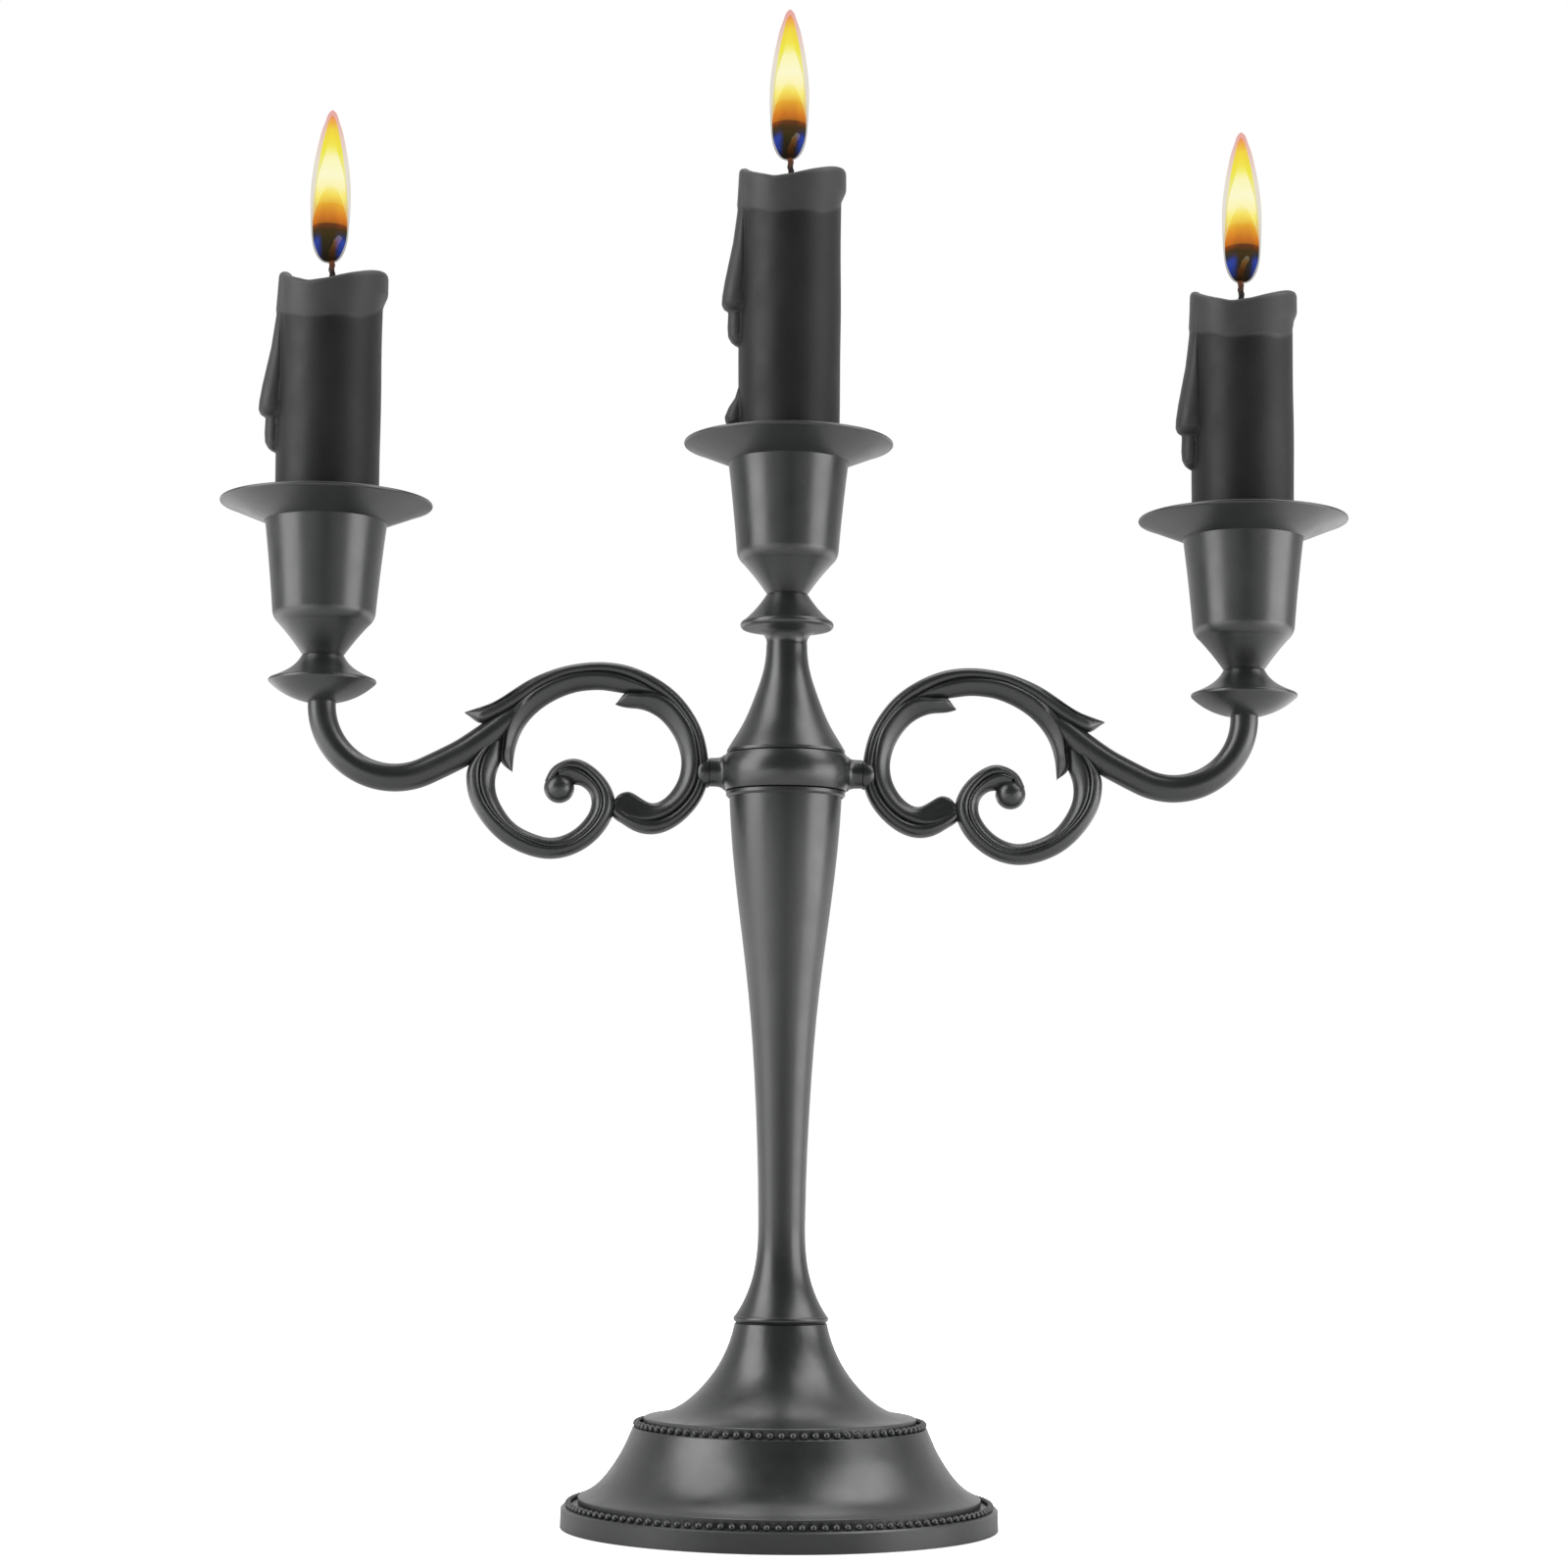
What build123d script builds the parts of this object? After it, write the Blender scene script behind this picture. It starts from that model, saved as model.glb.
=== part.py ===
from build123d import *
import os
from math import cos, pi, radians, sin, sqrt

# Three-light tabletop candelabra. Millimetres, +Z up, arms along X, front towards -Y.
# The origin is the centre of the underside, on the table.

# --- Driving dimensions -----------------------------------------------------------------
base_diameter = 107.0        # widest part of the foot
base_height = 49.4           # table to the seam under the shaft
stem_length = 131.6          # seam to the seat of the arm ring
ring_height = 9.2            # seat of the arm ring to the foot of the upper cone
column_length = 40.8         # foot of the upper cone to the seat of the middle cup
arm_reach = 116.0            # shaft axis to the axis of each side cup
side_cup_drop = 17.4         # side cups sit this much below the middle cup

cup_height = 33.6
cup_foot_radius = 5.4
cup_wall = 1.3
cup_floor = 9.5              # height of the cup's floor above its foot
pan_radius = 26.5
pan_depth = 5.3
pan_sheet = 1.0
collar_sheet = 0.5           # collar under each pan, which drops into the cup's mouth
collar_length = 3.0
candle_radius = 13.0
middle_candle_length = 100.6
side_candle_length = 88.4
rod_radius = 3.45            # round section of the arms
curl_radius = 3.1            # thinner section of the lower scroll

# --- Clearances and fasteners -----------------------------------------------------------
candle_clearance = 0.35      # wax to cup wall and pan collar, all round
press_clearance = 0.03       # parts that are pressed or glued together
thread_clearance = 0.05      # threads are drawn as plain cylinders
ring_clearance = 0.06        # ring bore to the spigot that it turns on
ring_play = 0.1              # above and below the ring
screw_radius = 2.0           # M4
stud_radius = 4.0            # M8
screw_clearance_radius = 2.25
bolt_clearance_radius = 4.4

# --- Sizes that follow ------------------------------------------------------------------
candle_hole_radius = candle_radius + candle_clearance
cup_counterbore_radius = candle_hole_radius + collar_sheet + press_clearance
cup_mouth_radius = cup_counterbore_radius + cup_wall
stem_top = base_height + stem_length
arm_level = stem_top + ring_height / 2
column_foot = stem_top + ring_height
middle_cup_seat = column_foot + column_length
side_cup_seat = middle_cup_seat - side_cup_drop
sides = {"left": -1, "right": 1}
cup_places = {
    "left": (-arm_reach, side_cup_seat),
    "middle": (0.0, middle_cup_seat),
    "right": (arm_reach, side_cup_seat),
}


def save(piece, name):
    """Label a finished piece and write it to its own file."""
    piece.part.label = name
    export_step(piece.part, f"parts/{name}.step")


os.makedirs("parts", exist_ok=True)

# --- Foot -------------------------------------------------------------------------------
base_radius = base_diameter / 2
base_wall = 2.2
base_web = 6.0               # solid top that the bolt pulls against
flange_height = 5.2
bead_radius = 0.85
bead_pitch = 2.7             # along each ring of beads
lower_bead_ring = base_radius - 2.0
lower_bead_level = flange_height + 0.6
lower_lip_radius = base_radius - 4.3
lower_lip_level = flange_height + 2.4
ledge_radius = base_radius - 17.6
ledge_level = 24.3
upper_bead_ring = ledge_radius - 0.75
upper_bead_level = ledge_level + 0.8
upper_lip_radius = ledge_radius - 2.5
upper_lip_level = ledge_level + 2.4
groove_depth = 2.2
neck_radius = 11.4
washer_radius = 8.0
washer_thickness = 1.6
washer_room = 1.5            # round the washer, inside the foot
pad_thickness = 1.2
pad_proud = 0.2              # the felt stands this far below the metal
pad_inner_radius = base_radius - 6.6
pad_outer_radius = base_radius - 1.4
flange_inner_radius = base_radius - 7.6

# The two concave sweeps of the foot, from their lower lips upward.
skirt = [
    (lower_lip_radius - 0.3, lower_lip_level),
    (base_radius - 9.0, 10.4),
    (base_radius - 12.9, 15.2),
    (base_radius - 15.6, 19.9),
    (ledge_radius + 0.8, ledge_level - 1.6),
    (ledge_radius + 0.2, ledge_level - 0.2),
]
flare_width = upper_lip_radius - 0.3 - neck_radius
flare_rise = base_height - upper_lip_level
flare = [
    (neck_radius + flare_width * across, upper_lip_level + flare_rise * up)
    for across, up in (
        (1.0, 0.0), (0.654, 0.09), (0.350, 0.33), (0.161, 0.58), (0.046, 0.83), (0.0, 1.0),
    )
]


def inside(points):
    """The same sweep on the hidden side of the wall."""
    return [(r - base_wall, z - base_wall) for r, z in points]


cavity_top = base_height - base_web
cavity_flare = [point for point in inside(flare) if point[1] < cavity_top - 1]
cavity_neck_radius = washer_radius + washer_room

with BuildPart() as base_casting:
    with BuildSketch(Plane.XZ):
        with BuildLine():
            Polyline(
                (0, base_height), (0, pad_proud), (base_radius, pad_proud),
                (base_radius - 0.1, flange_height - 0.4),
                (base_radius - 0.5, flange_height),
                (lower_bead_ring - 0.9, flange_height + 0.3),
                (lower_bead_ring - 1.2, lower_lip_level - groove_depth),
                (lower_lip_radius, lower_lip_level - groove_depth),
                (lower_lip_radius, lower_lip_level - 0.2),
                skirt[0],
            )
            Spline(*skirt)
            Polyline(
                skirt[-1],
                (ledge_radius, ledge_level),
                (upper_bead_ring - 0.7, ledge_level + 0.4),
                (upper_bead_ring - 1.0, upper_lip_level - groove_depth),
                (upper_lip_radius, upper_lip_level - groove_depth),
                (upper_lip_radius, upper_lip_level - 0.2),
                flare[0],
            )
            Spline(*flare)
            Line((neck_radius, base_height), (0, base_height))
        make_face()
    revolve(axis=Axis.Z)
    with BuildSketch(Plane.XZ):
        with BuildLine():
            Polyline(
                (0, cavity_top), (0, pad_proud), (flange_inner_radius, pad_proud),
                (flange_inner_radius, flange_height - base_wall), inside(skirt)[1],
            )
            Spline(*inside(skirt)[1:])
            Line(inside(skirt)[-1], cavity_flare[0])
            Spline(*cavity_flare)
            Polyline(cavity_flare[-1], (cavity_neck_radius, cavity_top), (0, cavity_top))
        make_face()
    revolve(axis=Axis.Z, mode=Mode.SUBTRACT)
    with BuildSketch(Plane.XY.offset(pad_proud)):
        Circle(pad_outer_radius)
        Circle(pad_inner_radius, mode=Mode.SUBTRACT)
    extrude(amount=pad_thickness - pad_proud, mode=Mode.SUBTRACT)
    with BuildSketch(Plane.XY.offset(cavity_top)):
        Circle(bolt_clearance_radius)
    extrude(amount=base_web, mode=Mode.SUBTRACT)
    for ring, level in ((lower_bead_ring, lower_bead_level), (upper_bead_ring, upper_bead_level)):
        with Locations((0, 0, level)):
            with PolarLocations(ring, round(2 * pi * ring / bead_pitch)):
                Sphere(bead_radius)
save(base_casting, "base_casting")

with BuildPart() as base_pad:
    with BuildSketch():
        Circle(pad_outer_radius)
        Circle(pad_inner_radius, mode=Mode.SUBTRACT)
    extrude(amount=pad_thickness)
save(base_pad, "base_pad")

bolt_head_flats = 13.0
bolt_head_height = 5.3
bolt_engagement = 16.0       # length of thread inside the shaft
hole_spare = 2.0             # a blind hole is this much deeper than what enters it

with BuildPart() as base_washer:
    with BuildSketch(Plane.XY.offset(cavity_top - washer_thickness)):
        Circle(washer_radius)
        Circle(bolt_clearance_radius, mode=Mode.SUBTRACT)
    extrude(amount=washer_thickness)
save(base_washer, "base_washer")

with BuildPart() as base_bolt:
    head_top = cavity_top - washer_thickness
    with BuildSketch(Plane.XY.offset(head_top)):
        RegularPolygon(bolt_head_flats / 2, 6, major_radius=False)
    extrude(amount=-bolt_head_height)
    with BuildSketch(Plane.XY.offset(head_top)):
        Circle(stud_radius)
    extrude(amount=base_height + bolt_engagement - head_top)
save(base_bolt, "base_bolt")

# --- Shaft ------------------------------------------------------------------------------
collar_radius = 14.9
collar_height = 1.6
shaft_top_radius = 14.05
spigot_radius = 9.0
stud_engagement = 16.0       # length of thread in the shaft, and in the cone above

shaft = [
    (neck_radius - 0.1, base_height + 1.9),
    (neck_radius - 2.45, base_height + 6.0),
    (6.64, base_height + 13.2),
    (5.82, base_height + 26.6),
    (6.66, base_height + stem_length * 0.40),
    (8.87, base_height + stem_length * 0.62),
    (12.56, base_height + stem_length * 0.846),
    (shaft_top_radius, stem_top - collar_height),
]

with BuildPart() as stem:
    with BuildSketch(Plane.XZ):
        with BuildLine():
            Polyline(
                (0, stem_top + ring_height - ring_play), (0, base_height),
                (neck_radius - 0.4, base_height), (neck_radius - 0.2, base_height + 0.4),
            )
            ThreePointArc(
                (neck_radius - 0.2, base_height + 0.4), (neck_radius + 0.3, base_height + 1.1), shaft[0]
            )
            Spline(*shaft)
            Polyline(
                shaft[-1], (collar_radius - 0.5, stem_top - collar_height),
                (collar_radius, stem_top - collar_height + 0.5),
                (collar_radius, stem_top - 0.3), (collar_radius - 0.3, stem_top),
                (spigot_radius, stem_top),
                (spigot_radius, stem_top + ring_height - ring_play),
                (0, stem_top + ring_height - ring_play),
            )
        make_face()
    revolve(axis=Axis.Z)
    with BuildSketch(Plane.XY.offset(base_height)):
        Circle(stud_radius + thread_clearance)
    extrude(amount=bolt_engagement + hole_spare, mode=Mode.SUBTRACT)
    with BuildSketch(Plane.XY.offset(stem_top - stud_engagement - hole_spare)):
        Circle(stud_radius + thread_clearance)
    extrude(amount=stud_engagement + hole_spare + ring_height, mode=Mode.SUBTRACT)
save(stem, "stem")

with BuildPart() as column_stud:
    with BuildSketch(Plane.XY.offset(stem_top - stud_engagement)):
        Circle(stud_radius)
    extrude(amount=ring_height + 2 * stud_engagement)
save(column_stud, "column_stud")

# --- Arm ring ---------------------------------------------------------------------------
ring_edge_radius = 15.2
ring_bulge_radius = 16.4
stub_radius = 3.6
stub_end = 19.1              # face where each arm meets its socket
peg_radius = 2.2
peg_length = 6.0

with BuildPart() as arm_ring:
    bottom, top = stem_top + ring_play, column_foot - ring_play
    bore = spigot_radius + ring_clearance
    with BuildSketch(Plane.XZ):
        with BuildLine():
            Polyline((ring_edge_radius, bottom), (bore, bottom), (bore, top), (ring_edge_radius, top))
            ThreePointArc((ring_edge_radius, top), (ring_bulge_radius, arm_level), (ring_edge_radius, bottom))
        make_face()
    revolve(axis=Axis.Z)
    flare_radius = ring_height / 2 - ring_play - 0.1
    stub_root = (bore + ring_edge_radius) / 2
    for side in sides.values():
        socket_face = Plane(origin=(side * stub_end, 0, arm_level), z_dir=(-side, 0, 0))
        with BuildSketch(Plane(origin=(0, 0, arm_level), x_dir=(side, 0, 0), z_dir=(0, -side, 0))):
            with BuildLine():
                Polyline(
                    (stub_end - 1.0, stub_radius), (stub_end, stub_radius), (stub_end, 0),
                    (stub_root, 0), (stub_root, flare_radius), (ring_bulge_radius - 0.8, flare_radius),
                )
                Spline(
                    (ring_bulge_radius - 0.8, flare_radius), (stub_end - 1.0, stub_radius),
                    tangents=[(0.6, -1), (1, 0)],
                )
            make_face()
        revolve(axis=Axis((0, 0, arm_level), (1, 0, 0)))
        with BuildSketch(socket_face):
            Circle(peg_radius + press_clearance)
        extrude(amount=peg_length + 0.3, mode=Mode.SUBTRACT)
save(arm_ring, "arm_ring")

# --- Upper cone -------------------------------------------------------------------------
column_foot_radius = 14.8
column_neck_radius = 5.15
column_knop_radius = 11.75
column_knop_drop = 7.9       # widest line of the knop below the cup's seat
cup_screw_engagement = 8.0

with BuildPart() as column:
    knop_level = middle_cup_seat - column_knop_drop
    neck_level = knop_level - 5.2
    with BuildSketch(Plane.XZ):
        with BuildLine():
            Polyline(
                (0, middle_cup_seat), (0, column_foot), (column_foot_radius - 0.3, column_foot),
                (column_foot_radius, column_foot + 0.3), (column_foot_radius, column_foot + 1.0),
            )
            Spline(
                (column_foot_radius, column_foot + 1.0),
                (11.0, column_foot + 7.5),
                (7.86, column_foot + 15.0),
                (column_neck_radius, neck_level),
                tangents=[(-0.55, 1), (0, 1)],
            )
            RadiusArc(
                (column_neck_radius, neck_level), (column_neck_radius + 2.4, knop_level - 1.6), 3.0
            )
            Line((column_neck_radius + 2.4, knop_level - 1.6), (column_knop_radius - 1.0, knop_level - 1.1))
            ThreePointArc(
                (column_knop_radius - 1.0, knop_level - 1.1), (column_knop_radius, knop_level),
                (column_knop_radius - 0.8, knop_level + 1.0),
            )
            Spline(
                (column_knop_radius - 0.8, knop_level + 1.0),
                (7.3, middle_cup_seat - 3.1),
                (cup_foot_radius, middle_cup_seat - 0.4),
            )
            Polyline(
                (cup_foot_radius, middle_cup_seat - 0.4), (cup_foot_radius - 0.3, middle_cup_seat),
                (0, middle_cup_seat),
            )
        make_face()
    revolve(axis=Axis.Z)
    with BuildSketch(Plane.XY.offset(column_foot)):
        Circle(stud_radius + thread_clearance)
    extrude(amount=stud_engagement + hole_spare, mode=Mode.SUBTRACT)
    with BuildSketch(Plane.XY.offset(middle_cup_seat)):
        Circle(screw_radius + thread_clearance)
    extrude(amount=-(cup_screw_engagement + hole_spare), mode=Mode.SUBTRACT)
save(column, "column")

# --- Arms -------------------------------------------------------------------------------
knop_height = 11.7
knop_radius = 13.4
knop_underside = side_cup_seat - knop_height
bend_radius = 18.3           # quarter bend below each side knop
bend_to_knop = 0.5           # straight rod above the bend
scroll_gap = 0.05            # side of the big scroll to the end of the ring's stub
ball_radius = 3.8
leaf_thickness = 4.4
joint_length = 4.0           # metal that joins the tip of the scroll to the lower curl
scroll_reach = 96.9          # reach, from socket to cup, that the scrolls are drawn for
scroll_scale = (arm_reach - stub_end) / scroll_reach
bend_foot = knop_underside - bend_to_knop - bend_radius


def on_arm(x, z):
    """A point of the right arm, from its place beyond the socket and above the arm level."""
    return stub_end + x * scroll_scale, arm_level + z * scroll_scale


# Stations along the rods of the right arm: place, then heading in degrees from +X towards
# +Z. Two tangent arcs join each pair of stations.
scroll_tip = on_arm(19.3, -9.2)
main_rod = [
    (*scroll_tip, 215),
    (*on_arm(13.9, -11.9), 180),
    (stub_end + rod_radius + scroll_gap, on_arm(0, 1.0)[1], 90),
    (*on_arm(27.8, 23.6), 0),
    (*on_arm(47.9, 14.0), -40),
    (arm_reach - bend_radius - 15.2 * scroll_scale, bend_foot + 5.5 * scroll_scale, -28),
    (arm_reach - bend_radius, bend_foot, 0),
    (arm_reach, bend_foot + bend_radius, 90),
]
lower_curl = [
    (*on_arm(50.9, 11.0), -50),
    (*on_arm(56.7, -2.6), -90),
    (*on_arm(38.7, -19.3), 180),
    (*on_arm(26.2, -7.3), 90),
    (*on_arm(33.8, -0.3), 0),
    (*on_arm(37.5, -4.2), -88),
]

# Outlines of the three leaves: points on a closed curve, tip first.
leaves = [
    [(60.9, 14.0), (53.9, 16.4), (45.9, 20.0), (46.9, 14.0), (53.4, 10.0), (57.9, 11.4)],
    [(49.3, -0.7), (48.9, 4.2), (46.4, 10.5), (51.4, 11.0), (54.9, 5.0), (52.7, 1.4)],
    [(23.6, 16.6), (18.5, 15.7), (11.9, 12.3), (8.9, 15.5), (14.9, 20.5), (21.7, 19.3)],
]


def tangent_arcs(stations):
    """Draw two tangent arcs between each pair of stations."""
    for (x0, z0, turn0), (x1, z1, turn1) in zip(stations, stations[1:]):
        start, end = Vector(x0, z0), Vector(x1, z1)
        leave = Vector(cos(radians(turn0)), sin(radians(turn0)))
        arrive = Vector(cos(radians(turn1)), sin(radians(turn1)))
        span, lean = end - start, leave + arrive
        bend = 2 * (1 - leave.dot(arrive))
        reach = (sqrt(span.dot(lean) ** 2 + bend * span.dot(span)) - span.dot(lean)) / bend
        joint = (start + leave * reach + end - arrive * reach) * 0.5
        first = TangentArc((x0, z0), (joint.X, joint.Y), tangent=(leave.X, leave.Y))
        TangentArc(first @ 1, (x1, z1), tangent=first % 1)


def rod_end(x, z, turn):
    """The plane across a rod at one of its stations."""
    return Plane(origin=(x, 0, z), z_dir=(cos(radians(turn)), 0, sin(radians(turn))))


with BuildPart() as arm_right:
    for stations, radius in ((main_rod, rod_radius), (lower_curl, curl_radius)):
        with BuildLine(Plane.XZ):
            tangent_arcs(stations)
        with BuildSketch(rod_end(*stations[0])):
            Circle(radius)
        sweep()
    with Locations((arm_reach, 0, (main_rod[-1][1] + knop_underside) / 2)):
        Cylinder(rod_radius, knop_underside - main_rod[-1][1])
    with Locations((scroll_tip[0], 0, scroll_tip[1])):
        Sphere(rod_radius + 0.4)
    with Locations((lower_curl[-1][0], 0, lower_curl[-1][1])):
        Sphere(ball_radius)
    with Locations((lower_curl[0][0], 0, lower_curl[0][1])):
        Sphere(curl_radius)
    joint_x, joint_z = on_arm(23.2, -8.5)
    with Locations((joint_x, 0, joint_z)):
        Box(joint_length * scroll_scale, 3.0, 3.0)
    for outline in leaves:
        with BuildSketch(Plane.XZ):
            with BuildLine():
                Polyline(*[on_arm(*point) for point in outline], close=True)
            make_face()
        extrude(amount=leaf_thickness / 2, both=True)
    with BuildSketch(Plane(origin=(stub_end, 0, arm_level), z_dir=(1, 0, 0))):
        Circle(stub_radius - 0.6)
    extrude(amount=2.0)
    with BuildSketch(Plane(origin=(stub_end - peg_length, 0, arm_level), z_dir=(1, 0, 0))):
        Circle(peg_radius)
    extrude(amount=peg_length + 2.0)
    with BuildSketch(Plane.XY.offset(knop_underside)):
        with Locations((arm_reach, 0)):
            Circle(screw_radius + thread_clearance)
    extrude(amount=-(cup_screw_engagement + hole_spare), mode=Mode.SUBTRACT)
save(arm_right, "arm_right")

with BuildPart() as arm_left:
    mirror(arm_right.part, about=Plane.YZ)
save(arm_left, "arm_left")

# --- Knops under the side cups ----------------------------------------------------------
for side, direction in sides.items():
    with BuildPart() as knop:
        widest = knop_underside + 5.1
        with BuildSketch(Plane.XZ):
            with BuildLine():
                Polyline(
                    (cup_foot_radius - 0.3, side_cup_seat), (screw_clearance_radius, side_cup_seat),
                    (screw_clearance_radius, knop_underside), (rod_radius + 0.9, knop_underside),
                )
                ThreePointArc(
                    (rod_radius + 0.9, knop_underside), (9.6, knop_underside + 2.0),
                    (knop_radius - 0.2, widest - 0.4),
                )
                ThreePointArc(
                    (knop_radius - 0.2, widest - 0.4), (knop_radius, widest),
                    (knop_radius - 0.4, widest + 0.6),
                )
                Spline(
                    (knop_radius - 0.4, widest + 0.6),
                    (knop_radius - 3.8, widest + 2.2),
                    (7.4, side_cup_seat - 2.9),
                    (cup_foot_radius, side_cup_seat - 0.4),
                )
                Line((cup_foot_radius, side_cup_seat - 0.4), (cup_foot_radius - 0.3, side_cup_seat))
            make_face()
        revolve(axis=Axis.Z)
    knop.part = knop.part.moved(Location((direction * arm_reach, 0, 0)))
    save(knop, f"knop_{side}")

# --- Cups, pans, screws, candles, wicks and flames --------------------------------------
belly_radius = cup_mouth_radius - 2.3
floor_radius = belly_radius - 1.9
screw_head_radius = 4.0
screw_head_height = 2.2
screw_head_sink = 0.3        # head below the cup's floor
hex_key = 2.5                # across flats
pool_radius = candle_radius - 2.6
pool_depth = 6.0             # the rim stands above the pool of wax
wick_radius = 0.9
wick_depth = 16.0            # length of wick below the candle's rim
wick_height = 9.5            # length of wick above the candle's rim
flame_base = 2.0             # foot of the flame above the candle's rim
flame_height = 40.4
flame_radius = 4.8
wick_gap = 0.4               # open core of the flame round the wick


def cup_outline():
    """The cup's outer wall from its foot to its mouth, at a cup foot on the origin."""
    Spline(
        (cup_foot_radius, 0.4),
        (cup_foot_radius + 2.6, 4.0),
        (belly_radius - 1.6, 7.9),
    )
    ThreePointArc((belly_radius - 1.6, 7.9), (belly_radius - 0.4, 9.5), (belly_radius, 11.2))
    Spline(
        (belly_radius, 11.2),
        (belly_radius + 0.95, cup_height - 12.0),
        (cup_mouth_radius, cup_height),
    )


for name, (reach, seat) in cup_places.items():
    place = Location((reach, 0, seat))
    floor = cup_floor
    collar_foot = cup_height - collar_length
    screw_reach = cup_screw_engagement + (0 if name == "middle" else knop_height)
    candle_length = middle_candle_length if name == "middle" else side_candle_length
    wax_top = floor + candle_length

    with BuildPart() as cup:
        with BuildSketch(Plane.XZ):
            with BuildLine():
                cup_outline()
                Polyline(
                    (cup_mouth_radius, cup_height), (cup_counterbore_radius, cup_height),
                    (cup_counterbore_radius, collar_foot), (candle_hole_radius, collar_foot),
                    (floor_radius, floor), (screw_head_radius + press_clearance, floor),
                    (screw_head_radius + press_clearance, floor - screw_head_sink),
                    (screw_clearance_radius, floor - screw_head_sink - screw_head_height),
                    (screw_clearance_radius, 0), (cup_foot_radius - 0.3, 0), (cup_foot_radius, 0.4),
                )
            make_face()
        revolve(axis=Axis.Z)
    cup.part = cup.part.moved(place)
    save(cup, f"cup_{name}")

    with BuildPart() as drip_pan:
        slope_foot = cup_mouth_radius + 0.2
        with BuildSketch(Plane.XZ):
            with BuildLine():
                Polyline(
                    (candle_hole_radius, collar_foot),
                    (candle_hole_radius + collar_sheet, collar_foot),
                    (candle_hole_radius + collar_sheet, cup_height),
                    (slope_foot, cup_height),
                    (pan_radius - 0.5, cup_height + pan_depth - pan_sheet + 0.1),
                )
                ThreePointArc(
                    (pan_radius - 0.5, cup_height + pan_depth - pan_sheet + 0.1),
                    (pan_radius, cup_height + pan_depth - 0.5),
                    (pan_radius - 0.5, cup_height + pan_depth),
                )
                Polyline(
                    (pan_radius - 0.5, cup_height + pan_depth),
                    (pan_radius - 1.2, cup_height + pan_depth - 0.1),
                    (slope_foot, cup_height + pan_sheet),
                    (candle_hole_radius, cup_height + pan_sheet),
                    (candle_hole_radius, collar_foot),
                )
            make_face()
        revolve(axis=Axis.Z)
    drip_pan.part = drip_pan.part.moved(place)
    save(drip_pan, f"drip_pan_{name}")

    with BuildPart() as cup_screw:
        head_top = floor - screw_head_sink
        with BuildSketch(Plane.XZ):
            with BuildLine():
                Polyline(
                    (0, -screw_reach), (screw_radius, -screw_reach),
                    (screw_radius, head_top - screw_head_height), (screw_head_radius, head_top),
                    (0, head_top), close=True,
                )
            make_face()
        revolve(axis=Axis.Z)
        with BuildSketch(Plane.XY.offset(head_top)):
            RegularPolygon(hex_key / 2, 6, major_radius=False)
        extrude(amount=-screw_head_height / 2, mode=Mode.SUBTRACT)
    cup_screw.part = cup_screw.part.moved(place)
    save(cup_screw, f"cup_screw_{name}")

    with BuildPart() as candle:
        with BuildSketch(Plane.XZ):
            with BuildLine():
                Polyline(
                    (0, floor), (floor_radius - candle_clearance, floor), (candle_radius, collar_foot),
                    (candle_radius, wax_top - 0.8), (candle_radius - 0.8, wax_top),
                    (pool_radius + 0.8, wax_top), (pool_radius, wax_top - pool_depth),
                    (0, wax_top - pool_depth), close=True,
                )
            make_face()
        revolve(axis=Axis.Z)
        # Run of wax down the left side, and the drop that follows it.
        for drop, out, fall, radius in (
            ("run", -0.6, 30.5, 3.4), ("drop", -0.2, 39.0, 2.4),
        ):
            with Locations((out - candle_radius, 0, wax_top - fall)):
                Sphere(radius)
            with Locations((out - candle_radius, 0, wax_top - fall / 2 - 2.0)):
                Cone(radius, radius / 2, fall - 4.0)
        with BuildSketch(Plane.XY.offset(wax_top)):
            Circle(wick_radius + press_clearance)
        extrude(amount=-wick_depth, mode=Mode.SUBTRACT)
    candle.part = candle.part.moved(place)
    save(candle, f"candle_{name}")

    with BuildPart() as wick:
        with BuildSketch(Plane.XY.offset(wax_top - wick_depth)):
            Circle(wick_radius)
        extrude(amount=wick_depth + wick_height)
    wick.part = wick.part.moved(place)
    save(wick, f"wick_{name}")

    with BuildPart() as flame:
        core = wick_radius + wick_gap
        foot = wax_top + flame_base
        core_top = wax_top + wick_height + wick_gap
        with BuildSketch(Plane.XZ):
            with BuildLine():
                Polyline((core + 0.4, foot), (core, foot), (core, core_top), (0, core_top), (0, foot + flame_height))
                Spline(
                    (0, foot + flame_height),
                    (flame_radius * 0.42, foot + 32.0),
                    (flame_radius * 0.84, foot + 21.5),
                    (flame_radius, foot + 12.5),
                    (flame_radius * 0.8, foot + 4.5),
                    (core + 0.4, foot),
                )
            make_face()
        revolve(axis=Axis.Z)
    flame.part = flame.part.moved(place)
    save(flame, f"flame_{name}")
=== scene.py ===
"""Looks of the three-light candelabra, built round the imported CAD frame."""
import math

import bpy
import numpy as np
from mathutils import Matrix, Vector


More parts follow.
